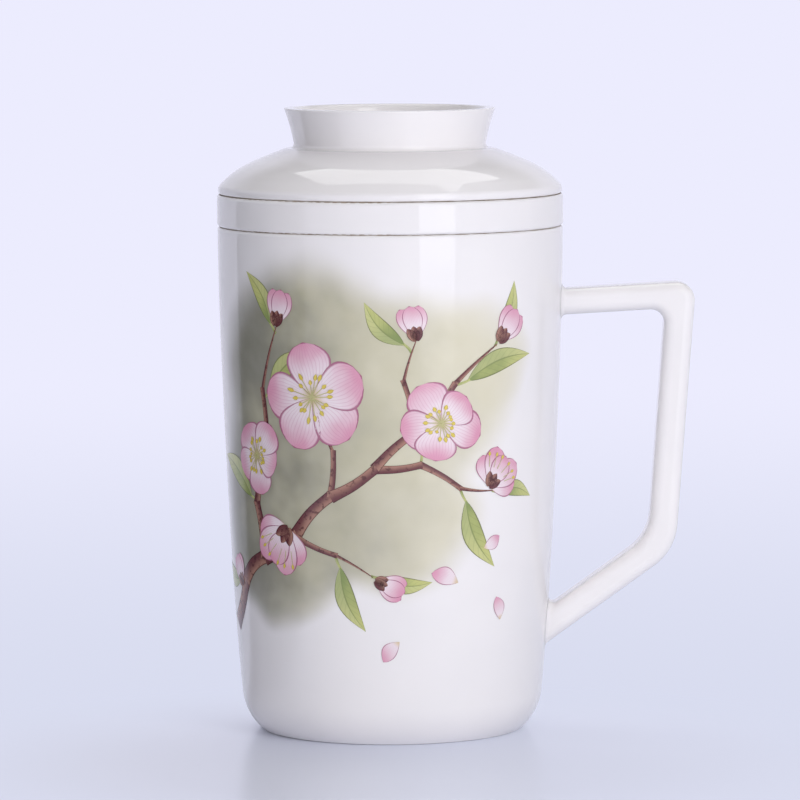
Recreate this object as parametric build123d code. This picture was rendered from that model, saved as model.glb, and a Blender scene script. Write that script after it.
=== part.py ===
from build123d import *
import math
import os

# Lidded tea mug with a drop-in infuser, in glazed porcelain. Millimetres, +Z up.
# The origin is on the mug's axis, in the plane that its foot stands on. The handle points along +X.
# The infuser hangs in the mug by its band, which rests on the mug's rim, and the lid rests on the band.

# ---- Mug body: outside ----
mug_height = 124.25
mug_rim_radius = 42.5
mug_middle_taper = 1.8  # radius that the wall has lost by its middle
mug_middle_drop = 58.25  # from the rim down to that middle
mug_heel_taper = 5.45  # radius that the wall has lost where it runs into the rounded heel
mug_heel_height = 9.0
mug_heel_lean = 0.1  # radius that the wall loses per millimetre of height as it reaches the heel
mug_foot_inset = 4.75  # from the heel's radius in to the foot's
mug_rim_rounding = 0.8

# ---- Mug body: inside and underneath ----
mug_wall = 3.2
mug_floor_height = 5.6
mug_cavity_corner = 6.0
foot_ring_width = 2.8
foot_recess_depth = 1.8
foot_ring_rounding = 0.5

# ---- Handle: an angular bar, luted to the body at two places ----
handle_width = 10.5
handle_upper_drop = 18.9  # from the mug's rim down to the upper arm's centre line at the wall
handle_corner_drop = 17.3  # from the mug's rim down to the upper corner's centre
handle_corner_reach = 71.4  # from the mug's axis out to the upper corner's centre
handle_bend_height = 45.45
handle_bend_reach = 66.8
handle_lower_height = 25.1  # where the lower arm's centre line meets the wall
handle_upper_thickness = 6.4
handle_grip_thickness_top = 7.2
handle_grip_thickness_bottom = 7.0
handle_lower_thickness = 6.95
handle_corner_outer_bend = 4.5
handle_corner_inner_bend = 3.2
handle_bend_outer_bend = 14.0
handle_bend_inner_bend = 12.5
handle_edge_rounding = 2.6
handle_joint_fillet = 1.2
handle_root_depth = 10.0  # how far the bar runs into the body before it is trimmed to the wall
handle_slip = 0.02  # thickness of the slip that lutes the handle to the wall

# ---- Infuser: band, ledge and strainer cup, one casting ----
band_height = 7.85
band_overhang = 0.1  # how far the band stands out past the mug's rim
band_thickness = 4.0
band_edge_rounding = 0.8
ledge_thickness = 2.5
strainer_rim_clearance = 1.1  # between the strainer and the mug's wall, at the rim
strainer_foot_clearance = 3.6  # the same at the strainer's lower end
strainer_depth = 66.5
strainer_wall = 2.5
strainer_outer_corner = 6.0
strainer_inner_corner = 3.5
strainer_root_fillet = 0.8
hole_diameter = 2.4
hole_pitch = 7.2
hole_rows = 2
holes_per_row = 20

# ---- Lid: dome and locating skirt ----
lid_setback = 0.3  # how far the lid's edge stands in from the band's
lid_edge_height = 1.9
lid_lower_rounding = 0.8
lid_upper_rounding = 1.2
lid_shoulder_inset = 7.8
lid_shoulder_rise = 5.75
lid_shoulder_bulge = 0.5  # how far the rim-to-shoulder curve stands out past its chord
lid_crown_rise = 3.65
lid_wall = 3.6
lid_under_corner = 3.0
skirt_clearance = 0.7  # between the skirt and the band's bore
skirt_ledge_gap = 0.7  # between the skirt's end and the infuser's ledge
skirt_thickness = 3.0
skirt_rounding = 0.9
skirt_root_fillet = 0.6

# ---- Lid: grip ring ----
grip_base_radius = 23.45
grip_flare = 2.6  # how much wider the ring is at its rim than at its base
grip_height = 9.8
grip_sag = 0.26  # how far the flared side is hollow behind its chord
grip_wall = 2.8
grip_outer_rounding = 0.4
grip_inner_rounding = 0.9
grip_root_fillet = 1.3  # flare of slip round the ring's foot
crown_ledge = 0.5  # flat of the crown beyond that flare

# ---- Places that follow from the sizes ----
mug_bore_radius = mug_rim_radius - mug_wall
mug_heel_radius = mug_rim_radius - mug_heel_taper
mug_foot_radius = mug_heel_radius - mug_foot_inset
band_radius = mug_rim_radius + band_overhang
band_bore_radius = band_radius - band_thickness
band_top = mug_height + band_height
ledge_height = mug_height + ledge_thickness
strainer_underside = mug_height - strainer_depth
lid_radius = band_radius - lid_setback
lid_shoulder_height = band_top + lid_edge_height + lid_shoulder_rise
lid_crown_height = lid_shoulder_height + lid_crown_rise
skirt_radius = band_bore_radius - skirt_clearance
skirt_bottom = ledge_height + skirt_ledge_gap
crown_radius = grip_base_radius + grip_root_fillet + crown_ledge

JOINT_REACH = 1.0  # an edge this near to the wall, within the handle's width, belongs to a joint
TRIM_SPARE = 5.0  # how far the tool that trims the handle runs past the mug's rim and foot


def wall_curve(inset=0.0, end_height=mug_heel_height):
    """The mug's wall from its rim down, in radius and height: upright, then tapering more and more."""
    end_radius = mug_heel_radius - mug_heel_lean * (mug_heel_height - end_height)
    return Spline(
        (mug_rim_radius - inset, mug_height),
        (mug_rim_radius - mug_middle_taper - inset, mug_height - mug_middle_drop),
        (end_radius - inset, end_height),
        tangents=[(0, -1), (-mug_heel_lean, -1)],
    )


def mug_radius(height):
    """The outside radius of the mug's wall at a height."""
    level = Axis((0, height, 0), (1, 0, 0))
    return WALL.find_intersection_points(level)[0].X


WALL = wall_curve()


def turned(profile):
    """The solid that a profile of (radius, height) sweeps about the axis, its seam opposite the handle."""
    return Rot(0, 0, 180) * revolve(Plane.XZ * profile, Axis.Z)


def rounded(profile, corners):
    """The profile with the corner nearest to each (radius, height) rounded by its own fillet."""
    for radius, height, rounding in corners:
        nearest = profile.vertices().sort_by_distance((radius, height, 0))[0]
        profile = fillet(nearest, rounding)
    return profile


def point_between(start, end, distance):
    """The point this far from start, towards end."""
    share = distance / math.dist(start, end)
    return tuple(a + share * (b - a) for a, b in zip(start, end))


def mug_envelope():
    """The mug's outside as one solid, without its cavity or foot recess."""
    rim, heel = (mug_rim_radius, mug_height), (mug_heel_radius, mug_heel_height)
    foot = (mug_foot_radius, 0)
    heel_arc = TangentArc(heel, foot, tangent=WALL % 1)
    return turned(make_face([WALL, heel_arc, Polyline(foot, (0, 0), (0, mug_height), rim)]))


def mug_cavity():
    """The space inside the mug, from its floor up to its rim."""
    side = wall_curve(mug_wall, mug_floor_height)
    floor_edge, rim = side @ 1, side @ 0
    profile = make_face([side, Polyline(floor_edge, (0, mug_floor_height), (0, mug_height), rim)])
    return turned(rounded(profile, [(floor_edge.X, floor_edge.Y, mug_cavity_corner)]))


def foot_recess():
    """The shallow hollow under the mug, inside its foot ring."""
    rim = mug_foot_radius - foot_ring_width
    roof = rim - foot_recess_depth
    outline = Polyline((0, 0), (rim, 0), (roof, foot_recess_depth), (0, foot_recess_depth), close=True)
    return turned(make_face(outline))


def ring_edges(solid, radius, height):
    """The round edges of a turned solid that run through (radius, height)."""
    return [
        edge
        for edge in solid.edges().filter_by(GeomType.CIRCLE)
        if math.isclose(edge.radius, radius, abs_tol=0.01)
        and math.isclose(edge.center(CenterOf.MASS).Z, height, abs_tol=0.01)
    ]


def make_mug_body():
    body = mug_envelope() - mug_cavity() - foot_recess()
    rims = ring_edges(body, mug_rim_radius, mug_height) + ring_edges(body, mug_bore_radius, mug_height)
    body = fillet(rims, mug_rim_rounding)
    return fillet(ring_edges(body, mug_foot_radius - foot_ring_width, 0), foot_ring_rounding)


def crossing(line_a, line_b):
    """Where two lines cross, each given by two points."""
    (ax, ay), (bx, by) = line_a
    (cx, cy), (dx, dy) = line_b
    turn = (bx - ax) * (dy - cy) - (by - ay) * (dx - cx)
    share = ((cx - ax) * (dy - cy) - (cy - ay) * (dx - cx)) / turn
    return (ax + share * (bx - ax), ay + share * (by - ay))


def side_line(start, end, start_offset, end_offset):
    """A run of the handle's centre line, moved sideways by an offset at each end."""
    along = (Vector(*end) - Vector(*start)).normalized()
    across = Vector(-along.Y, along.X)
    first, last = Vector(*start) + across * start_offset, Vector(*end) + across * end_offset
    return (first.X, first.Y), (last.X, last.Y)


def handle_side(runs, side):
    """The corner points of the handle's outline on one side: +1 outside, -1 on the finger side."""
    lines = [side_line(a, b, side * ta / 2, side * tb / 2) for a, b, ta, tb in runs]
    return [lines[0][0], crossing(lines[0], lines[1]), crossing(lines[1], lines[2]), lines[2][1]]


def handle_runs():
    """The three arms, each as its start, end and thickness at both, from the upper joint down."""
    upper = (mug_rim_radius, mug_height - handle_upper_drop)
    corner = (handle_corner_reach, mug_height - handle_corner_drop)
    bend = (handle_bend_reach, handle_bend_height)
    lower = (mug_radius(handle_lower_height), handle_lower_height)
    upper_root = point_between(upper, corner, -handle_root_depth)
    lower_root = point_between(lower, bend, -handle_root_depth)
    return [
        (upper_root, corner, handle_upper_thickness, handle_upper_thickness),
        (corner, bend, handle_grip_thickness_top, handle_grip_thickness_bottom),
        (bend, lower_root, handle_lower_thickness, handle_lower_thickness),
    ]


def handle_bar():
    """The bent bar with rounded edges, its ends still inside the body's wall."""
    outer = handle_side(handle_runs(), 1)
    inner = handle_side(handle_runs(), -1)
    outline = [
        FilletPolyline(*outer, radius=[handle_corner_outer_bend, handle_bend_outer_bend]),
        Line(outer[-1], inner[-1]),
        FilletPolyline(*inner, radius=[handle_corner_inner_bend, handle_bend_inner_bend]),
        Line(inner[0], outer[0]),
    ]
    bar = extrude(Plane.XZ * make_face(outline), handle_width / 2, both=True)
    ends = (Line(outer[-1], inner[-1]), Line(inner[0], outer[0]))
    end_middles = [Vector(end.center().X, 0, end.center().Y) for end in ends]
    sides = bar.faces().filter_by(Axis.Y).edges()
    long_edges = [
        edge
        for edge in sides
        if all((Vector(edge.center().X, 0, edge.center().Z) - middle).length > 0.1 for middle in end_middles)
    ]
    return fillet(long_edges, handle_edge_rounding)


def on_joint(edge):
    """Whether an edge lies where the bar meets the mug's wall."""
    places = [edge @ share for share in (0.1, 0.5, 0.9)]
    return all(
        place.X > 0
        and abs(place.Y) < handle_width
        and abs(math.hypot(place.X, place.Y) - mug_radius(place.Z)) < JOINT_REACH
        for place in places
    )


def handle_trim():
    """Everything within the wall and the slip on it, past the rim and the foot."""
    side = wall_curve(-handle_slip)
    rim, heel = side @ 0, side @ 1
    above, below = mug_height + TRIM_SPARE, -TRIM_SPARE
    rest = Polyline(heel, (heel.X, below), (0, below), (0, above), (rim.X, above), rim)
    return turned(make_face([side, rest]))


def make_mug_handle():
    """The bar trimmed to the body's wall, with a small flare of slip round each joint."""
    joined = mug_envelope() + handle_bar()
    joined = fillet([edge for edge in joined.edges() if on_joint(edge)], handle_joint_fillet)
    return joined - handle_trim()


def infuser_shell():
    """The band, the ledge inside it and the strainer cup, before its holes are pierced."""
    outer_top = mug_bore_radius - strainer_rim_clearance
    bore = mug_radius(strainer_underside) - mug_wall
    outer_foot = bore - strainer_foot_clearance
    floor = strainer_underside + strainer_wall
    points = [
        (0, strainer_underside),
        (outer_foot, strainer_underside),
        (outer_top, mug_height),
        (band_radius, mug_height),
        (band_radius, band_top),
        (band_bore_radius, band_top),
        (band_bore_radius, ledge_height),
        (outer_top - strainer_wall, ledge_height),
        (outer_foot - strainer_wall, floor),
        (0, floor),
    ]
    roundings = [
        (*points[1], strainer_outer_corner),
        (*points[2], strainer_root_fillet),
        (*points[3], band_edge_rounding),
        (*points[4], band_edge_rounding),
        (*points[5], band_edge_rounding),
        (*points[6], band_edge_rounding),
        (*points[7], band_edge_rounding),
        (*points[8], strainer_inner_corner),
    ]
    return turned(rounded(make_face(Polyline(*points, close=True)), roundings))


def strainer_holes():
    """One drill for each hole: rings of holes in the floor, and staggered rows low in the side."""
    foot_radius = mug_radius(strainer_underside) - mug_wall - strainer_foot_clearance
    flat_radius = foot_radius - strainer_wall - strainer_outer_corner
    drill = Cylinder(hole_diameter / 2, 3 * strainer_wall)
    drills = [Pos(0, 0, strainer_underside) * drill]
    for ring in range(1, int(flat_radius / hole_pitch) + 1):
        start = Pos(ring * hole_pitch, 0, strainer_underside) * drill
        drills += [Rot(0, 0, 60 * step / ring) * start for step in range(6 * ring)]
    first_row = strainer_underside + strainer_outer_corner + hole_pitch / 2
    sideways = Pos(foot_radius, 0, 0) * Rot(0, 90, 0) * drill
    for row in range(hole_rows):
        for step in range(holes_per_row):
            turn = 360 / holes_per_row * (step + row % 2 / 2)
            drills.append(Pos(0, 0, first_row + row * hole_pitch) * Rot(0, 0, turn) * sideways)
    return drills


def make_infuser():
    return infuser_shell() - strainer_holes()


def make_lid_dome():
    """The domed lid with its skirt, which drops into the infuser's band and keeps it central."""
    edge_top = band_top + lid_edge_height
    shoulder = (lid_radius - lid_shoulder_inset, lid_shoulder_height)
    crown = (crown_radius, lid_crown_height)
    flank = SagittaArc((lid_radius, edge_top), shoulder, -lid_shoulder_bulge)
    top = TangentArc(shoulder, crown, tangent=flank % 1)
    skirt_bore = skirt_radius - skirt_thickness
    fall = (lid_crown_height - lid_shoulder_height) / (shoulder[0] - crown[0])
    under_corner = (skirt_bore, lid_shoulder_height - (skirt_bore - shoulder[0]) * fall - lid_wall)
    under_crown = (crown_radius, lid_crown_height - lid_wall)
    rest = [
        crown,
        (0, lid_crown_height),
        (0, under_crown[1]),
        under_crown,
        under_corner,
        (skirt_bore, skirt_bottom),
        (skirt_radius, skirt_bottom),
        (skirt_radius, band_top),
        (lid_radius, band_top),
        (lid_radius, edge_top),
    ]
    roundings = [
        (*under_corner, lid_under_corner),
        (skirt_bore, skirt_bottom, skirt_rounding),
        (skirt_radius, skirt_bottom, skirt_rounding),
        (skirt_radius, band_top, skirt_root_fillet),
        (lid_radius, band_top, lid_lower_rounding),
        (lid_radius, edge_top, lid_upper_rounding),
    ]
    return turned(rounded(make_face([flank, top, Polyline(*rest)]), roundings))


def make_lid_grip_ring():
    """The flared ring on the crown, open at the top, with a flare of slip round its foot."""
    top = lid_crown_height + grip_height
    base, rim = (grip_base_radius, lid_crown_height), (grip_base_radius + grip_flare, top)
    inner_base, inner_rim = (base[0] - grip_wall, base[1]), (rim[0] - grip_wall, top)
    profile = make_face(
        [
            SagittaArc(base, rim, grip_sag),
            Line(rim, inner_rim),
            SagittaArc(inner_rim, inner_base, -grip_sag),
            Line(inner_base, base),
        ]
    )
    below, beyond = lid_crown_height - grip_wall, crown_radius + grip_root_fillet
    crown = Polyline((inner_base[0], below), (beyond, below), (beyond, base[1]), inner_base, close=True)
    under = make_face(crown)
    roundings = [
        (*base, grip_root_fillet),
        (*rim, grip_outer_rounding),
        (*inner_rim, grip_inner_rounding),
    ]
    return turned(rounded(profile + under, roundings) - under)


NODES = {
    "mug_body": make_mug_body,
    "mug_handle": make_mug_handle,
    "infuser": make_infuser,
    "lid_dome": make_lid_dome,
    "lid_grip_ring": make_lid_grip_ring,
}

os.makedirs("parts", exist_ok=True)
for node, make in NODES.items():
    export_step(make(), f"parts/{node}.step")
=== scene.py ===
import math
import random

import bmesh
import bpy
from mathutils import Matrix, Vector


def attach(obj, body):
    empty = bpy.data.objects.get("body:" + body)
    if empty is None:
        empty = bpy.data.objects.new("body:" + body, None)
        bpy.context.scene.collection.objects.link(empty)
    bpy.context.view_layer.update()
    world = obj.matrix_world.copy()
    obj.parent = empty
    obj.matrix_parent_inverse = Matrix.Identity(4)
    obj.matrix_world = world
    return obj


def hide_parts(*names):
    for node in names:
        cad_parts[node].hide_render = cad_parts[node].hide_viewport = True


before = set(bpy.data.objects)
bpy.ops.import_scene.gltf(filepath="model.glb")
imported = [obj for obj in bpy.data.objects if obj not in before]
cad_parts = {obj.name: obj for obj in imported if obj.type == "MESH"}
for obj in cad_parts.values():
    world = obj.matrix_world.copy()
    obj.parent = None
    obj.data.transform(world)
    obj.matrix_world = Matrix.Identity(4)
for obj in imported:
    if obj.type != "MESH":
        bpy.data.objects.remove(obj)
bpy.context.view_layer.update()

MM = 0.001
crease = math.radians(32)  # edges that turn more than this stay sharp

# ---- Mug body ----
# The mug is one slip casting in white porcelain, a cup that tapers to a rounded heel on a low foot ring.
# Clear glaze covers it inside and out, but the foot ring and the flat top of the rim are wiped bare
# before the firing, so that they stick neither to the kiln's shelf nor to the piece that sits on them.
mug_height = 124.25
mug_rim_radius = 42.5
mug_wall = 3.2
mug_floor_height = 5.6
mug_rim_rounding = 0.8
heel_height = 9.0
foot_radius = 32.3
foot_ring_inner_radius = 29.5
foot_recess_depth = 1.8
foot_recess_rounding, foot_inner_rounding, foot_outer_rounding = 0.8, 0.5, 0.3
wall_lean = (12.18, 13.98, 7.24)  # factors of the second, third and fourth power of the fall from the rim
heel_bulge = 0.995  # how far the rounded heel stands out from the straight line between its ends
rim_spare = 2.4  # how far below the rim the points of the wall stop, which leaves room for the roundings
floor_spare = 8.0  # how far above the floor they stop inside
cavity_corner_inset = 0.4  # how much narrower the inside is at its floor than at the heel
cavity_corner_rounding = 6.0
turning_steps = 256
rounding_steps = 8


def wall_radius(height):
    """The radius of the mug's outside in millimetres: upright at the rim, leaning in more and more below."""
    fall = (mug_height - height) / (mug_height - heel_height)
    square, cube, fourth = wall_lean
    return mug_rim_radius - square * fall**2 + cube * fall**3 - fourth * fall**4


def wall_outline(first, last, inset=0.0, steps=44):
    """Points down or up the mug's wall between two heights, each as radius, height and no rounding."""
    heights = [first + (last - first) * step / steps for step in range(steps + 1)]
    return [(wall_radius(height) - inset, height, 0) for height in heights]


def bowed(start, end, bulge, steps=10):
    """Points between the ends of an arc that stands out from its chord by bulge, to the left of its way."""
    start, end = Vector(start), Vector(end)
    half = (end - start) / 2
    radius = (half.length_squared + bulge**2) / (2 * bulge)
    side = Vector((-half.y, half.x)).normalized()
    centre = start + half + side * (bulge - radius)
    swing = 2 * math.asin(half.length / abs(radius)) * (-1 if bulge > 0 else 1)
    points = []
    for step in range(1, steps):
        arm = Matrix.Rotation(swing * step / steps, 2) @ (start - centre)
        points.append((centre.x + arm.x, centre.y + arm.y, 0))
    return points


def make_active(piece):
    """Selects a piece and nothing else."""
    bpy.ops.object.select_all(action="DESELECT")
    piece.select_set(True)
    bpy.context.view_layer.objects.active = piece


def finish_modifier(piece, kind, **settings):
    """Adds a modifier to a piece and applies it."""
    make_active(piece)
    modifier = piece.modifiers.new(kind.lower(), kind)
    for name, value in settings.items():
        setattr(modifier, name, value)
    bpy.ops.object.modifier_apply(modifier=modifier.name)


def turned(name, outline):
    """A piece turned on the wheel. Each point of its outline is radius, height and how far back along
    both sides its corner is rounded, all in millimetres; it starts and ends on the axis or closes."""
    bpy.ops.object.select_all(action="DESELECT")
    bpy.ops.mesh.primitive_plane_add(size=MM)
    piece = bpy.context.object
    piece.name = piece.data.name = name
    bpy.ops.object.mode_set(mode="EDIT")
    bpy.ops.mesh.select_all(action="SELECT")
    bpy.ops.mesh.merge(type="CENTER")
    places = [Vector((radius, 0, height)) * MM for radius, height, rounding in outline]
    roundings = [rounding * MM for radius, height, rounding in outline]
    bpy.ops.transform.translate(value=places[0])
    for before, after in zip(places, places[1:]):
        bpy.ops.mesh.extrude_region_move(TRANSFORM_OT_translate={"value": after - before})
    bpy.ops.mesh.select_all(action="SELECT")
    bpy.ops.mesh.remove_doubles(threshold=0.001 * MM)
    for place, rounding in zip(places, roundings):
        if rounding:
            bpy.ops.mesh.select_all(action="DESELECT")
            wire = bmesh.from_edit_mesh(piece.data)
            min(wire.verts, key=lambda vertex: (vertex.co - place).length).select = True
            bpy.ops.mesh.bevel(
                offset=rounding, segments=rounding_steps, affect="VERTICES", offset_type="OFFSET"
            )
    bpy.ops.mesh.select_all(action="SELECT")
    bpy.ops.mesh.spin(steps=turning_steps, angle=2 * math.pi, center=(0, 0, 0), axis=(0, 0, 1))
    bpy.ops.mesh.select_all(action="SELECT")
    bpy.ops.mesh.remove_doubles(threshold=0.002 * MM)
    bpy.ops.mesh.normals_make_consistent(inside=False)
    bpy.ops.object.mode_set(mode="OBJECT")
    bpy.ops.object.shade_smooth_by_angle(angle=crease)
    finish_modifier(piece, "WEIGHTED_NORMAL", keep_sharp=True)
    return piece


mug_body = turned(
    "mug_glazed_body",
    [
        (0, foot_recess_depth, 0),
        (foot_ring_inner_radius - foot_recess_depth, foot_recess_depth, foot_recess_rounding),
        (foot_ring_inner_radius, 0, foot_inner_rounding),
        (foot_radius, 0, foot_outer_rounding),
        *bowed((foot_radius, 0), (wall_radius(heel_height), heel_height), -heel_bulge),
        *wall_outline(heel_height, mug_height - rim_spare),
        (mug_rim_radius, mug_height, mug_rim_rounding),
        (mug_rim_radius - mug_wall, mug_height, mug_rim_rounding),
        *wall_outline(mug_height - rim_spare, mug_floor_height + floor_spare, mug_wall),
        (
            wall_radius(heel_height) - mug_wall - cavity_corner_inset,
            mug_floor_height,
            cavity_corner_rounding,
        ),
        (0, mug_floor_height, 0),
    ],
)


class Shade:
    """A value that varies over a surface. Arithmetic on it adds Math nodes, and node() adds any other."""

    def __init__(self, tree, socket=None):
        self.tree = tree
        self.socket = socket

    def node(self, kind, settings=None, inputs=None, output=None):
        """Adds a node with these properties and inputs. Its value is the output named, or else its first."""
        made = self.tree.nodes.new(kind)
        for name, value in (settings or {}).items():
            setattr(made, name, value)
        for name, value in (inputs or {}).items():
            named = [socket for socket in made.inputs if socket.enabled and socket.name == name]
            socket = named[0] if named else made.inputs[name]
            if isinstance(value, Shade):
                self.tree.links.new(value.socket, socket)
            else:
                socket.default_value = value
        shown = [socket for socket in made.outputs if socket.enabled and output in (None, socket.name)]
        return Shade(self.tree, shown[0] if shown else None)

    def maths(self, operation, first, second=0.0):
        """One step of arithmetic, as a Math node."""
        return self.node("ShaderNodeMath", {"operation": operation}, {0: first, 1: second})

    def __add__(self, other):
        return self.maths("ADD", self, other)

    __radd__ = __add__

    def __sub__(self, other):
        return self.maths("SUBTRACT", self, other)

    def __rsub__(self, other):
        return self.maths("SUBTRACT", other, self)

    def __mul__(self, other):
        return self.maths("MULTIPLY", self, other)

    __rmul__ = __mul__

    def __truediv__(self, other):
        return self.maths("DIVIDE", self, other)

    def __mod__(self, other):
        return self.maths("FLOORED_MODULO", self, other)

    def __abs__(self):
        return self.maths("ABSOLUTE", self)

    def at_most(self, other):
        return self.maths("MINIMUM", self, other)

    def at_least(self, other):
        return self.maths("MAXIMUM", self, other)

    def rise(self, low, high):
        """0 below low and 1 above high, with an eased change between them."""
        limits = {"Value": self, "From Min": low, "From Max": high}
        return self.node("ShaderNodeMapRange", {"interpolation_type": "SMOOTHSTEP"}, limits, "Result")

    def noise(self, place, scale, detail=2.0, roughness=0.5):
        """A cloudy value around a half that varies this many times to the metre."""
        inputs = {"Vector": place, "Scale": scale, "Detail": detail, "Roughness": roughness}
        return self.node("ShaderNodeTexNoise", {}, inputs, "Fac")

    def tint(self, below, above):
        """The first colour where this is 0, the second where it is 1."""
        colours = [value if isinstance(value, Shade) else (*value, 1) for value in (below, above)]
        inputs = {"Factor": self, "A": colours[0], "B": colours[1]}
        return self.node("ShaderNodeMix", {"data_type": "RGBA"}, inputs, "Result")

    def bump(self, height, distance, under=None):
        """A surface that stands this many metres higher where height is 1, on top of the one under it."""
        inputs = {"Height": height, "Distance": distance, "Strength": 1.0}
        if under:
            inputs["Normal"] = under
        return self.node("ShaderNodeBump", {}, inputs)


def new_recipe(name):
    """An empty material, and where its nodes start."""
    material = bpy.data.materials.new(name)
    material.use_nodes = True
    material.node_tree.nodes.clear()
    return material, Shade(material.node_tree)


def fire(start, inputs):
    """Ends a recipe with its shader."""
    surface = start.node("ShaderNodeBsdfPrincipled", {}, inputs, "BSDF")
    start.node("ShaderNodeOutputMaterial", {}, {"Surface": surface})


# Textures of the surface: how often each varies to the metre, and its depth in metres.
sway_scale, sway_depth = 34.0, 0.00011
peel_scale, peel_depth = 420.0, 0.0000035
print_scale, print_depth = 2600.0, 0.0000085
clay_scale, clay_depth = 1800.0, 0.00003


def glaze_ripple(start, place):
    """The glaze's surface: a slow sway from the casting, and a fine orange peel."""
    sway = start.bump(start.noise(place, sway_scale, 1.0), sway_depth)
    return start.bump(start.noise(place, peel_scale, 1.0), peel_depth, sway)


porcelain_colour = (0.825, 0.797, 0.805)
porcelain_thick_glaze = (0.795, 0.772, 0.785)
# The bare clay's colours are darker than the clay itself. Where the bare rings reach into the rounded seams,
# they paint the seams' shade.
clay_and_seam_shade_colour = (0.42, 0.35, 0.28)
clay_and_seam_shade_speck = (0.29, 0.23, 0.18)
bare_clay_roughness = 0.62
bare_level = (0.12, 0.32)  # how far above and below its height a ring of bare clay gives way to glaze
bare_edge = 0.08  # half the width over which it does so at its two radii
glaze_index = 1.5
wash_deep = (0.215, 0.210, 0.160)
wash_sage = (0.500, 0.472, 0.335)
wash_mist = (0.650, 0.610, 0.455)
# Each drift of colour wash: its middle round the wall and up it, its half width, half height and strength.
wash_drifts = [
    (-30, 62, 26, 30, 1.0),
    (-20, 90, 30, 28, 1.0),
    (8, 88, 25, 24, 0.85),
    (-4, 57, 26, 20, 0.9),
    (22, 96, 15, 15, 0.6),
    (-32, 44, 20, 15, 0.8),
]
drift_edge = (0.45, 1.3)  # where a drift fades out, as the square of the share of its half width or height
wash_wander = 15  # width in millimetres of the band that the drifts' outlines stray in
wash_lowest = (12, 14)  # the heights between which the wash fades in, above the heel
outside_radius = 36.5  # whatever lies further from the axis than this is the outside of the wall
transfer_radius = 40.5  # round which the flat transfer's millimetres are wrapped


def glazed(name, bare_rings=(), washed=False):
    """Clear glaze over white porcelain. Each bare ring of clay is its height and its two radii. Where a ring
    reaches into a rounded seam, its dark clay colour paints the seam's shade.
    """
    material, start = new_recipe(name)
    place = start.node("ShaderNodeTexCoord", output="Object")
    in_mm = start.node("ShaderNodeVectorMath", {"operation": "SCALE"}, {0: place, "Scale": 1 / MM})
    x, y, z = (start.node("ShaderNodeSeparateXYZ", {}, {0: in_mm}, axis) for axis in "XYZ")
    off_axis = start.maths("SQRT", x * x + y * y)
    colour = start.noise(place, 26.0, 3.0).rise(0.35, 0.7).tint(porcelain_colour, porcelain_thick_glaze)
    roughness = 0.015 + 0.02 * start.noise(place, 90.0)
    normal = glaze_ripple(start, place)
    if washed:
        round_wall = start.maths("ARCTAN2", x, 0 - y) * transfer_radius
        wander_x = (start.noise(place, 30.0, 2.0) - 0.5) * wash_wander + round_wall
        wander_z = (start.noise(place, 31.0, 2.0) - 0.5) * wash_wander + z
        clear = 1
        for middle_x, middle_z, half_width, half_height, strength in wash_drifts:
            across = (wander_x - middle_x) / half_width
            up = (wander_z - middle_z) / half_height
            drift = (1 - (across * across + up * up).rise(*drift_edge)) * strength
            clear = (1 - drift) * clear
        on_wall = off_axis.rise(outside_radius, outside_radius + 0.1) * z.rise(*wash_lowest)
        wash = (1 - clear) * on_wall
        cloud = start.noise(place, 48.0, 3.0, 0.55)
        lightness = (round_wall * 0.014 + 0.62 + (cloud - 0.5) * 0.9).at_most(1).at_least(0)
        tone = lightness.rise(0.0, 0.55).tint(wash_deep, wash_sage)
        tone = lightness.rise(0.45, 0.95).tint(tone, wash_mist)
        strength = wash * (0.86 + 0.14 * start.noise(place, 210.0, 3.0))
        colour = strength.tint(colour, tone)
        roughness = roughness + wash * 0.10
        normal = start.bump(start.noise(place, print_scale, 2.0) * wash, print_depth, normal)
    if bare_rings:
        radius = off_axis + (start.noise(place, 300.0) - 0.5) * 0.5
        bare = 0
        for height, inner, outer in bare_rings:
            level = 1 - abs(z - height).rise(*bare_level)
            past_inner = radius.rise(inner - bare_edge, inner + bare_edge)
            past_outer = radius.rise(outer - bare_edge, outer + bare_edge)
            bare = (level * (past_inner * (1 - past_outer))).at_least(bare)
        # Bare clay colour, darker than the real clay, so that it paints the shade in the seams that the
        # rings reach into.
        clay = start.noise(place, 1500.0, 3.0).rise(0.45, 0.75).tint(clay_and_seam_shade_colour, clay_and_seam_shade_speck)
        colour = bare.tint(colour, clay)
        roughness = roughness + bare * (bare_clay_roughness - roughness)
        normal = start.bump(start.noise(place, clay_scale, 3.0) * bare, clay_depth, normal)
    fire(start, {"Base Color": colour, "Roughness": roughness, "Normal": normal, "IOR": glaze_index})
    return material


def dress(piece, material):
    """Gives a piece one material all over."""
    piece.data.materials.clear()
    piece.data.materials.append(material)


# The bare rim ring reaches out into the rim's rounding, where its dark clay paints the shade of the seam
# under the band.
mug_glaze = glazed(
    "printed_glaze",
    [(0, foot_ring_inner_radius + 0.3, foot_radius - 0.1), (mug_height, 39.9, 42.1)],
    washed=True,
)
dress(mug_body, mug_glaze)
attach(mug_body, "mug")
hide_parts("mug_body")

# ---- Print ----
# The picture is a transfer: a flat sheet printed in fired colours, slid wet onto the glazed wall and fired
# on. Its blossom branch is drawn here as on the sheet, in millimetres round the wall and up it from the
# table, brush stroke by brush stroke, and each colour's strokes are then wrapped round the wall.
stroke_columns = 8
stroke_rows = 14
ink_thickness = 0.012
leaf_lift, branch_lift, petal_lift, stamen_lift = 0.035, 0.060, 0.085, 0.22
layer_step = 0.014  # how much higher each petal lies than the one before, and a leaf than its stalk
stamen_step, twig_step = 0.004, 0.003  # the same for stamens and twigs
twig_overlap = 1.05  # how long a twig is for its way, so that it runs into the next one
petals_each, stamens_each = 5, 18
inks = {"petals": [], "leaves": [], "branch": [], "stamens": []}
patterns = []  # the plain strokes, of which the print's strokes are copies
chance = random.Random(7)


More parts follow.
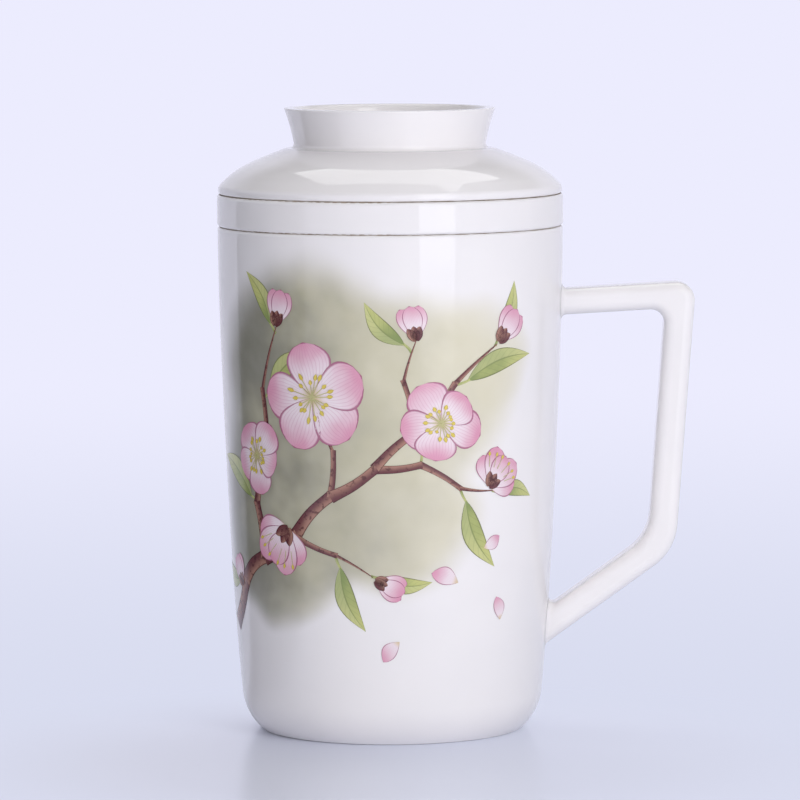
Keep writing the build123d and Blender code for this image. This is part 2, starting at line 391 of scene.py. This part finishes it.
def brush(width_at, bow=0.0):
    """A stroke one unit long and wide, from the origin up the y axis. Its width follows from the share of
    its length, and bow is how far its middle swings to the side."""
    bpy.ops.object.select_all(action="DESELECT")
    bpy.ops.mesh.primitive_grid_add(
        x_subdivisions=stroke_columns, y_subdivisions=stroke_rows, size=1, enter_editmode=True
    )
    stroke = bpy.context.object
    for row in range(stroke_rows + 1):
        share = row / stroke_rows
        bpy.ops.mesh.select_all(action="DESELECT")
        sheet = bmesh.from_edit_mesh(stroke.data)
        for vertex in sheet.verts:
            vertex.select = abs(vertex.co.y + 0.5 - share) < 0.3 / stroke_rows
        sheet.select_flush(True)
        bpy.ops.transform.resize(value=(max(width_at(share), 0), 1, 1), center_override=(0, 0, 0))
        bpy.ops.transform.translate(value=(bow * math.sin(math.pi * share), 0, 0))
    bpy.ops.mesh.select_all(action="SELECT")
    bpy.ops.transform.translate(value=(0, 0.5, 0))
    bpy.ops.mesh.remove_doubles(threshold=0.0001)
    bpy.ops.object.mode_set(mode="OBJECT")
    patterns.append(stroke)
    return stroke


petal_stroke = brush(lambda share: math.sin(math.pi * share**1.5) ** 0.6, 0.05)
long_petal_stroke = brush(lambda share: math.sin(math.pi * share**1.15) ** 0.8, 0.12)
leaf_stroke = brush(lambda share: math.sin(math.pi * share**0.85), 0.35)
twig_stroke = brush(lambda share: 1.06 - 0.28 * share + 0.16 * (2 * share - 1) ** 4, 0.25)
tip_stroke = brush(lambda share: 1 - 0.75 * share, 0.3)
stamen_stroke = brush(
    lambda share: 0.22 if share < 0.72 else math.sin(math.pi * (share - 0.65) / 0.35) ** 0.7
)
sepal_stroke = brush(lambda share: math.sin(math.pi * (0.12 + 0.88 * share)) ** 0.7)


def lay(stroke, ink, place, turn, length, width, lift):
    """Lays a copy of a stroke on the sheet, starting at place. A negative width lays it mirrored."""
    copy = stroke.copy()
    copy.data = stroke.data.copy()
    bpy.context.scene.collection.objects.link(copy)
    size = Matrix.Diagonal((width, length, 1, 1))
    spot = Matrix.Translation((*place, lift))
    copy.data.transform(Matrix.Scale(MM, 4) @ spot @ Matrix.Rotation(math.radians(turn), 4, "Z") @ size)
    inks[ink].append(copy)


def polar(place, turn, reach):
    """The point this far from a place, where turn 0 is up the sheet and grows to the left."""
    angle = math.radians(turn)
    return (place[0] - reach * math.sin(angle), place[1] + reach * math.cos(angle))


def foreshortened(turn, lean, squash):
    """How long a spoke looks, out of 1, when its flower leans over and squashes its height that way."""
    off = math.radians(turn - lean)
    return math.hypot(squash * math.cos(off), math.sin(off))


def open_blossom(place, size, turn, lean=0.0, squash=1.0):
    """Five petals round a spray of stamens."""
    for petal in range(petals_each):
        angle = turn + 360 / petals_each * petal + chance.uniform(-6, 6)
        length = size / 2 * foreshortened(angle, lean, squash)
        width = size * chance.uniform(0.43, 0.49) * (-1) ** petal
        lay(petal_stroke, "petals", place, angle, length, width, petal_lift + layer_step * petal)
    for stamen in range(stamens_each):
        angle = turn + 360 / stamens_each * stamen + chance.uniform(-7, 7)
        length = size * chance.uniform(0.15, 0.27) * foreshortened(angle, lean, squash)
        lay(stamen_stroke, "stamens", place, angle, length, 1.0, stamen_lift + stamen_step * stamen)


def side_blossom(place, size, turn):
    """A blossom seen from the side: a fan of petals that rises from its sepals, with stamens between."""
    fan = [(52, 0.42, 0.30), (-50, 0.44, 0.30), (24, 0.52, 0.34), (-22, 0.54, 0.36), (2, 0.46, 0.32)]
    for layer, (angle, length, width) in enumerate(fan):
        lift = petal_lift + layer_step * layer
        lay(petal_stroke, "petals", place, turn + angle, size * length, size * width, lift)
    for angle in (-40, -28, -12, 8, 22, 38):
        root = polar(place, turn + angle, size * 0.25)
        lay(stamen_stroke, "stamens", root, turn + angle, size * 0.2, 0.8, stamen_lift)
    sepal_lift = petal_lift + 6 * layer_step
    for angle in (34, 0, -34):
        lay(sepal_stroke, "branch", place, turn + angle, size * 0.2, size * 0.12, sepal_lift)


def bud(place, size, turn):
    """A closed bud: three petals wrapped over one another, held by its sepals."""
    for layer, (angle, width) in enumerate([(16, 0.5), (-15, 0.5), (0, 0.55)]):
        lay(petal_stroke, "petals", place, turn + angle, size, size * width, petal_lift + layer_step * layer)
    sepal_lift = petal_lift + 4 * layer_step
    for angle in (26, -26, 0):
        lay(sepal_stroke, "branch", place, turn + angle, size * 0.42, size * 0.26, sepal_lift)


def leaf(place, length, turn, plumpness=0.3):
    """A leaf on a short stalk; a negative plumpness bows it the other way."""
    lay(twig_stroke, "leaves", place, turn, length * 0.22, 0.7, leaf_lift)
    root = polar(place, turn, length * 0.18)
    lay(leaf_stroke, "leaves", root, turn, length, length * plumpness, leaf_lift + layer_step)


def branch(points, first_width, last_width):
    """A bough of twigs from point to point, each a little thinner than the one before."""
    ends = list(zip(points, points[1:]))
    for step, (start, end) in enumerate(ends):
        along = Vector(end) - Vector(start)
        turn = math.degrees(math.atan2(-along.x, along.y))
        share = step / max(len(ends) - 1, 1)
        width = first_width + (last_width - first_width) * share
        stroke = tip_stroke if step == len(ends) - 1 else twig_stroke
        length, lift = along.length * twig_overlap, branch_lift + twig_step * step
        lay(stroke, "branch", start, turn, length, width * (-1) ** step, lift)


main_bough = [(-55, 27), (-46, 38), (-36, 45), (-25, 51), (-15, 61), (-4, 68), (6, 77), (15, 88), (26, 97)]
branch(main_bough, 4.6, 1.3)
branch([(-36, 45), (-38, 58), (-33, 71), (-34, 86), (-29, 101)], 2.8, 1.1)
branch([(-4, 68), (7, 69), (17, 63), (26, 62)], 2.0, 1.0)
branch([(-15, 61), (-14, 72), (-18, 83)], 1.6, 0.9)
branch([(6, 77), (3, 89), (6, 99)], 1.4, 0.8)
branch([(-25, 51), (-14, 47), (-5, 42)], 1.5, 0.8)

leaf((-37, 58), 19, 62, 0.32)
leaf((-34, 84), 17, -52, -0.32)
leaf((-29, 100), 15, 34, 0.3)
leaf((-46, 38), 15, 78, -0.34)
leaf((-14, 47), 17, -158, 0.3)
leaf((7, 69), 16, -6, 0.3)
leaf((15, 88), 20, -74, -0.28)
leaf((17, 63), 19, -152, 0.3)
leaf((5, 96), 14, 42, -0.32)
leaf((26, 97), 14, -20, 0.3)
leaf((26, 62), 12, -100, -0.34)
leaf((-5, 42), 13, -96, 0.32)

open_blossom((-19, 85), 27, 12)
open_blossom((-37, 70), 20, 40, 80, 0.72)
open_blossom((12, 79), 22, 30, -35, 0.8)
side_blossom((-27, 53), 23, 148)
side_blossom((25, 63), 19, -38)
bud((6, 99), 8.5, 12)
bud((27, 98), 9.5, -38)
bud((-29, 102), 9, -12)
bud((-4, 41), 8, -112)
bud((-48, 37), 8, 22)
loose_petals = [((17, 40), 7.5, 70), ((2, 26), 6.5, 140), ((30, 30), 6.0, 15), ((24, 48), 5.5, -60)]
for place, size, turn in loose_petals:
    lay(long_petal_stroke, "petals", place, turn, size, size * 0.6, petal_lift)


print_roughness = 0.15
petal_white, petal_rose, petal_heart = (0.80, 0.70, 0.745), (0.66, 0.30, 0.42), (0.66, 0.52, 0.33)
petal_vein, petal_rim = (0.52, 0.20, 0.33), (0.33, 0.085, 0.17)
leaf_green, leaf_yellow, leaf_light_half = (0.23, 0.29, 0.10), (0.52, 0.53, 0.20), (0.60, 0.60, 0.32)
leaf_vein, leaf_rim = (0.20, 0.24, 0.09), (0.13, 0.14, 0.06)
bark_light, bark_dark = (0.38, 0.20, 0.15), (0.14, 0.045, 0.05)
bark_mark, bark_rim = (0.07, 0.02, 0.025), (0.06, 0.015, 0.02)
filament_green, anther_yellow, stamen_rim = (0.55, 0.52, 0.26), (0.66, 0.52, 0.10), (0.24, 0.19, 0.04)


def on_stroke(start):
    """Where a point lies on its stroke: from edge to edge, from its start, and from its middle line."""
    sheet = start.node("ShaderNodeUVMap", {"uv_map": "UVMap"})
    across, along = (start.node("ShaderNodeSeparateXYZ", {}, {0: sheet}, axis) for axis in "XY")
    return across, along, abs(across * 2 - 1)


def printed(name, colour_of):
    """A fired colour with the glaze's gloss and a fine grain, coloured by a function."""
    material, start = new_recipe(name)
    place = start.node("ShaderNodeTexCoord", output="Object")
    colour = colour_of(start, place, *on_stroke(start))
    normal = start.bump(start.noise(place, print_scale, 2.0), print_depth, glaze_ripple(start, place))
    fire(start, {"Base Color": colour, "Roughness": print_roughness, "Normal": normal, "IOR": glaze_index})
    return material


def petal_colour(start, place, across, along, off_middle):
    """White that blushes to rose towards the tip, with fine veins and a thin dark outline."""
    uneven = start.noise(place, 160.0, 2.0) - 0.5
    blush = (along + uneven * 0.5).rise(0.30, 1.05)
    colour = blush.tint(petal_white, petal_rose)
    colour = (1 - along.rise(0.02, 0.26)).tint(colour, petal_heart)
    stripes = abs((across * 13 + uneven * 1.5) % 1 - 0.5) * 2
    veins = (1 - stripes.rise(0.0, 0.34)) * along.rise(0.1, 0.35) * 0.34
    colour = veins.tint(colour, petal_vein)
    outline = (off_middle + uneven * 0.08).rise(0.86, 0.95).at_least(along.rise(0.965, 0.985))
    return (outline * 0.85).tint(colour, petal_rim)


def leaf_colour(start, place, across, along, off_middle):
    """Yellow-green, deeper by the stalk and on one half, with a midrib and slanting side veins."""
    uneven = start.noise(place, 130.0, 3.0) - 0.5
    colour = (along + uneven).rise(0.0, 0.9).tint(leaf_green, leaf_yellow)
    colour = (across.rise(0.48, 0.54) * 0.35).tint(colour, leaf_light_half)
    slant = abs((along * 9 - off_middle * 1.6 + uneven * 0.3) % 1 - 0.5) * 2
    veins = ((1 - slant.rise(0.0, 0.25)) * 0.4).at_least(1 - off_middle.rise(0.03, 0.11))
    colour = (veins * 0.7).tint(colour, leaf_vein)
    outline = (off_middle + uneven * 0.1).rise(0.86, 0.96)
    return (outline * 0.8).tint(colour, leaf_rim)


def bark_colour(start, place, across, along, off_middle):
    """Maroon-brown, light along the middle, with short bark marks across it."""
    uneven = start.noise(place, 240.0, 3.0)
    colour = (across + uneven * 0.5).rise(0.25, 1.1).tint(bark_light, bark_dark)
    marks = (1 - start.noise(place, 900.0, 2.0).rise(0.34, 0.46)) * 0.7
    colour = marks.tint(colour, bark_mark)
    return (off_middle.rise(0.78, 0.95) * 0.8).tint(colour, bark_rim)


def stamen_colour(start, place, across, along, off_middle):
    """A pale filament that carries a yellow anther with a darker rim."""
    colour = along.rise(0.66, 0.72).tint(filament_green, anther_yellow)
    return (off_middle.rise(0.6, 0.95) * 0.8).tint(colour, stamen_rim)


def wrap(name, strokes, colour_of):
    """Joins one colour's strokes, gives them the ink's thickness and wraps them round the mug's wall."""
    bpy.ops.object.select_all(action="DESELECT")
    for stroke in strokes:
        stroke.select_set(True)
    bpy.context.view_layer.objects.active = strokes[0]
    bpy.ops.object.join()
    sheet = bpy.context.object
    sheet.name = sheet.data.name = f"print_{name}"
    finish_modifier(sheet, "SOLIDIFY", thickness=ink_thickness * MM, offset=1)
    for vertex in sheet.data.vertices:
        round_wall, height, lift = vertex.co / MM
        radius, angle = wall_radius(height) + lift, round_wall / transfer_radius
        vertex.co = Vector((radius * math.sin(angle), -radius * math.cos(angle), height)) * MM
    bpy.ops.object.mode_set(mode="EDIT")
    bpy.ops.mesh.select_all(action="SELECT")
    bpy.ops.mesh.normals_make_consistent(inside=False)
    bpy.ops.object.mode_set(mode="OBJECT")
    bpy.ops.object.shade_smooth_by_angle(angle=crease)
    dress(sheet, printed(f"printed_{name}", colour_of))
    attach(sheet, "mug")


colours = {"petals": petal_colour, "leaves": leaf_colour, "branch": bark_colour, "stamens": stamen_colour}
for ink, strokes in inks.items():
    wrap(ink, strokes, colours[ink])
for pattern in patterns:
    bpy.data.objects.remove(pattern)

# ---- Handle ----
# The handle is a solid bar, cast apart, bent at two corners and luted to the body with slip before both
# are glazed together. Its solid in the frame has every rounding, so it only gets its glaze.


def dress_solid(node, material):
    """Gives a solid of the frame one material all over."""
    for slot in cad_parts[node].material_slots:
        slot.material = material


dress_solid("mug_handle", glazed("handle_glaze"))

# ---- Infuser ----
# The infuser is one casting: a band that sits on the mug's rim, a ledge inside it, and a strainer cup
# pierced with holes before it dries. The band's flat top and underside are bare clay.
band_top = 132.1
# Both bare rings reach into the band's edge roundings, where their dark clay paints the shade of the seams.
band_bare_rings = [(mug_height, 38.4, 42.1), (band_top, 39.3, 42.1)]
dress_solid("infuser", glazed("infuser_glaze", band_bare_rings))

# ---- Lid dome ----
# The lid is a shallow dome with a short skirt underneath, which drops inside the band and keeps it
# central. The flat ring under its edge, on which it is fired and rests, is bare clay.
lid_radius = 42.3
lid_edge_top = 134.0
shoulder = (34.5, 139.75)
crown = (25.25, 143.4)
dome_bulge, shoulder_bulge = 0.134, 0.5  # how far each arc of the dome stands out from its straight line
skirt_radius = 37.9
skirt_bore = 34.9
skirt_bottom = 127.45
hollow_shoulder, hollow_top = 136.0, 139.8  # the heights of the hollow under the dome

lid_dome = turned(
    "lid_glazed_dome",
    [
        (0, crown[1], 0),
        (*crown, 0.6),
        *bowed(crown, shoulder, dome_bulge),
        (*shoulder, 0),
        *bowed(shoulder, (lid_radius, lid_edge_top), shoulder_bulge)[:-2],
        (lid_radius, lid_edge_top, 0.6),
        (lid_radius, band_top, 0.8),
        (skirt_radius, band_top, 0.6),
        (skirt_radius, skirt_bottom, 0.9),
        (skirt_bore, skirt_bottom, 0.9),
        (skirt_bore, hollow_shoulder, 1.9),
        (crown[0], hollow_top, 1.2),
        (0, hollow_top, 0),
    ],
)
# The bare ring reaches into the rounding under the lid's edge, where its dark clay paints the shade of the
# seam.
dress(lid_dome, glazed("lid_glaze", [(band_top, 38.6, 42.0)]))
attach(lid_dome, "lid")
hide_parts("lid_dome")

# ---- Grip ring ----
# The ring is a flared collar, open at the top, luted to the dome's flat crown before glazing, with the
# slip wiped into a small flare inside and out. The lid stands on the ring when it is laid upside down.
ring_base, ring_rim = (23.45, crown[1]), (26.05, 153.2)
ring_wall = 2.8
ring_sag = 0.26
ring_toe = 0.35  # how far the ring's underside is sunk into the crown
ring_toe_edge = 0.05  # the height of its edge there
inner_base, inner_rim = (ring_base[0] - ring_wall, ring_base[1]), (ring_rim[0] - ring_wall, ring_rim[1])
outer_toe, inner_toe = ring_base[0] + 2.5, inner_base[0] - 2.0  # how far out and in the slip's flare reaches

grip_ring = turned(
    "lid_glazed_ring",
    [
        (inner_toe, crown[1] - ring_toe, 0),
        (outer_toe, crown[1] - ring_toe, 0),
        (outer_toe, crown[1] - ring_toe + ring_toe_edge, 0),
        (*ring_base, 1.3),
        *bowed(ring_base, ring_rim, ring_sag)[2:],
        (*ring_rim, 0.4),
        (*inner_rim, 0.9),
        *bowed(inner_rim, inner_base, -ring_sag)[:-2],
        (*inner_base, 1.2),
        (inner_toe, crown[1] - ring_toe + ring_toe_edge, 0),
        (inner_toe, crown[1] - ring_toe, 0),
    ],
)
dress(grip_ring, glazed("ring_glaze"))
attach(grip_ring, "lid")
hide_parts("lid_grip_ring")

# ---- Studio ----
# A white table runs back into a pale lavender backdrop. The key light stands in front to the right in
# three parts, one above another, a wide softbox hangs overhead, and a dark card stands at the left. The
# fills round the mug soften its shadows, and the glaze doesn't mirror them.
table_tint = (0.71, 0.735, 0.86)
table_roughness, table_index = 0.22, 1.45
table_drop = 0.0001  # how far the table lies below the foot ring
near_backdrop, far_backdrop = (0.68, 0.708, 0.855), (0.839, 0.839, 0.991)
key_turn = 31  # how many degrees round to the right of the front the key light stands
key_spread = 0.21  # how fast the painted pool of its light on the table widens with the distance from the mug
key_gain = 1.2  # how much brighter than the backdrop that painted pool is mirrored
card_spread = 0.64  # how fast the painted shade towards the card widens with the distance from the mug
card_depth = 0.92  # how much darker than the backdrop that painted shade is mirrored
shadow_middle = (0, -0.06, 0)  # the middle of the patch before the foot where the table's shadow shows
shadow_reach = (0.05, 0.13)  # how far from there the shadow fades into the backdrop


def seen_directly(start):
    """1 for what the camera sees itself, through glass or mirrored in the glaze."""
    kinds = ("Camera", "Transmission", "Glossy")
    seen = [start.node("ShaderNodeLightPath", output=f"Is {kind} Ray") for kind in kinds]
    return (seen[0] + seen[1] + seen[2]).at_most(1)


def mirrored_glow(start, place, reach):
    """How bright the backdrop's glow on the table is. The camera sees it even, but in the glaze it shows a
    painted shade towards the card and a painted pool of light where the key falls on the table."""
    x, y = (start.node("ShaderNodeSeparateXYZ", {}, {0: place}, axis) for axis in "XY")
    mirrored = start.node("ShaderNodeLightPath", output="Is Glossy Ray")
    # A painted shade towards the card, seen only in the glaze.
    painted_card_shade = (0 - x * card_spread - abs(y)).rise(0.0, 0.03) * mirrored
    turn = math.radians(key_turn)
    off_key = abs(x * math.cos(turn) + y * math.sin(turn))
    key_side = (x * math.sin(turn) - y * math.cos(turn)).rise(0.0, 0.05)
    # A painted pool of the key's light on the table, seen only in the glaze.
    painted_key_light = (key_spread * reach - off_key).rise(0.0, 0.02) * key_side * reach.rise(-0.2, 1.0) * mirrored
    return 1 - painted_card_shade * card_depth + painted_key_light * key_gain


def glow_share(start, place):
    """How much of the backdrop's glow the table shows in place of its own shading: all of it further out,
    little in the shadow before the foot, and a little more at the shadow's right, which paints light there."""
    x = start.node("ShaderNodeSeparateXYZ", {}, {0: place}, "X")
    from_shadow = start.node(
        "ShaderNodeVectorMath", {"operation": "DISTANCE"}, {0: place, 1: shadow_middle}, "Value"
    )
    # The extra glow at the right paints light into that side of the foot's shadow.
    least = 0.05 + 0.4 * x.rise(-0.035, 0.02)
    return seen_directly(start) * (least + (1 - least) * from_shadow.rise(*shadow_reach))


bpy.ops.object.select_all(action="DESELECT")
bpy.ops.mesh.primitive_circle_add(
    vertices=128, radius=40, fill_type="NGON", location=(0, 0, -table_drop)
)
table = bpy.context.object
table.name = "table"
table_material, start = new_recipe("table_top")
place = start.node("ShaderNodeTexCoord", output="Object")
reach = start.node("ShaderNodeVectorMath", {"operation": "LENGTH"}, {0: place}, "Value")
surface = start.node(
    "ShaderNodeBsdfPrincipled",
    {},
    {"Base Color": (*table_tint, 1), "Roughness": table_roughness, "IOR": table_index},
    "BSDF",
)
backdrop_colour = reach.rise(-0.1, 1.0).tint(near_backdrop, far_backdrop)
glow_inputs = {"Color": backdrop_colour, "Strength": mirrored_glow(start, place, reach)}
glow = start.node("ShaderNodeEmission", {}, glow_inputs)
both = start.node("ShaderNodeMixShader", {}, {0: glow_share(start, place), 1: surface, 2: glow})
start.node("ShaderNodeOutputMaterial", {}, {"Surface": both})
dress(table, table_material)

bpy.ops.mesh.primitive_plane_add(size=1, location=(-1.1, 0, 0.65), rotation=(0, math.radians(90), 0))
card = bpy.context.object
card.name = "dark_card"
card.visible_camera = card.visible_glossy = False
bpy.ops.transform.resize(value=(1, 1.4, 1.3))
card_material, start = new_recipe("dark_card")
fire(start, {"Base Color": (0.05, 0.05, 0.055, 1), "Roughness": 0.9})
dress(card, card_material)


def add_softbox(name, place, target, width, height, power, mirrored=True, lighting=True):
    """A rectangular softbox that faces a target and stays out of the picture itself. A mirrored one shows
    in the glaze, and one that isn't lighting does nothing else."""
    lamp = bpy.data.lights.new(name, "AREA")
    lamp.shape = "RECTANGLE"
    lamp.size, lamp.size_y = width, height
    lamp.energy = power
    holder = bpy.data.objects.new(name, lamp)
    bpy.context.scene.collection.objects.link(holder)
    holder.location = place
    holder.rotation_euler = (Vector(target) - Vector(place)).to_track_quat("-Z", "Y").to_euler()
    holder.visible_camera = False
    holder.visible_glossy = mirrored
    holder.visible_diffuse = lighting


def round_the_mug(turn, reach, height):
    """A place this many degrees round to the right from the front, and this far from the mug's axis."""
    return (reach * math.sin(math.radians(turn)), -reach * math.cos(math.radians(turn)), height)


key_reach, fill_reach = 1.25, 1.3  # how far from the mug's axis the key and the fills before it stand
key_width = 0.55
key_foot_height = 0.15  # the lowest part of the key stands level with the mug and faces it
middle, foot = (0, 0, 0.12), (0, 0, 0.05)  # what the other lamps face

key_top_place = round_the_mug(key_turn, key_reach, 0.88)
key_middle_place = round_the_mug(key_turn, key_reach, 0.42)
key_foot_place = round_the_mug(key_turn, key_reach, key_foot_height)
key_foot_target = (0, 0, key_foot_height)
add_softbox("key_top", key_top_place, middle, key_width, 0.40, 2.5)
add_softbox("key_middle", key_middle_place, middle, key_width, 0.40, 4.7, mirrored=False)
add_softbox("key_foot", key_foot_place, key_foot_target, key_width, 0.29, 0.42, lighting=False)
add_softbox("overhead_softbox", (0.05, 0.50, 1.34), middle, 1.12, 0.84, 5.5)
add_softbox("low_fill", round_the_mug(-14, fill_reach, 0.17), foot, 1.2, 0.30, 4.9, mirrored=False)
add_softbox("right_fill", round_the_mug(62, fill_reach, 0.18), foot, 1.2, 0.32, 2.5, mirrored=False)
add_softbox("left_fill", (-0.7, 0.6, 1.1), middle, 1.0, 0.8, 2.8, mirrored=False)
add_softbox("back_fill", (0.0, 1.3, 0.35), foot, 0.9, 0.50, 5.2, mirrored=False)

# The backdrop goes on in the lower air, where the camera or the glaze sees it. All other light from the
# air is dim, and dimmer still from above.
world = bpy.data.worlds.new("studio_air")
bpy.context.scene.world = world
world.use_nodes = True
world.node_tree.nodes.clear()
start = Shade(world.node_tree)
heading = start.node("ShaderNodeTexCoord", output="Generated")
low = 1 - start.node("ShaderNodeSeparateXYZ", {}, {0: heading}, "Z").rise(0.35, 0.60)
dim_colour = (0.95, 0.95, 1.0, 1)
dim = start.node("ShaderNodeBackground", {}, {"Color": dim_colour, "Strength": 0.20 + low * 0.26})
pale = start.node("ShaderNodeBackground", {}, {"Color": (*far_backdrop, 1), "Strength": 1.0})
air = start.node("ShaderNodeMixShader", {}, {0: seen_directly(start) * low, 1: dim, 2: pale})
start.node("ShaderNodeOutputWorld", {}, {"Surface": air})

bpy.context.scene.view_settings.view_transform = "Standard"
lens = bpy.data.cameras.new("camera")
lens.lens = 243.4
lens.sensor_width = 36
lens.clip_end = 100
camera = bpy.data.objects.new("camera", lens)
bpy.context.scene.collection.objects.link(camera)
camera.location = (0.00224, -1.330, 0.2034)
camera.rotation_mode = "ZXY"
camera.rotation_euler = (math.radians(84.74), 0, math.radians(-0.24))
bpy.context.scene.camera = camera
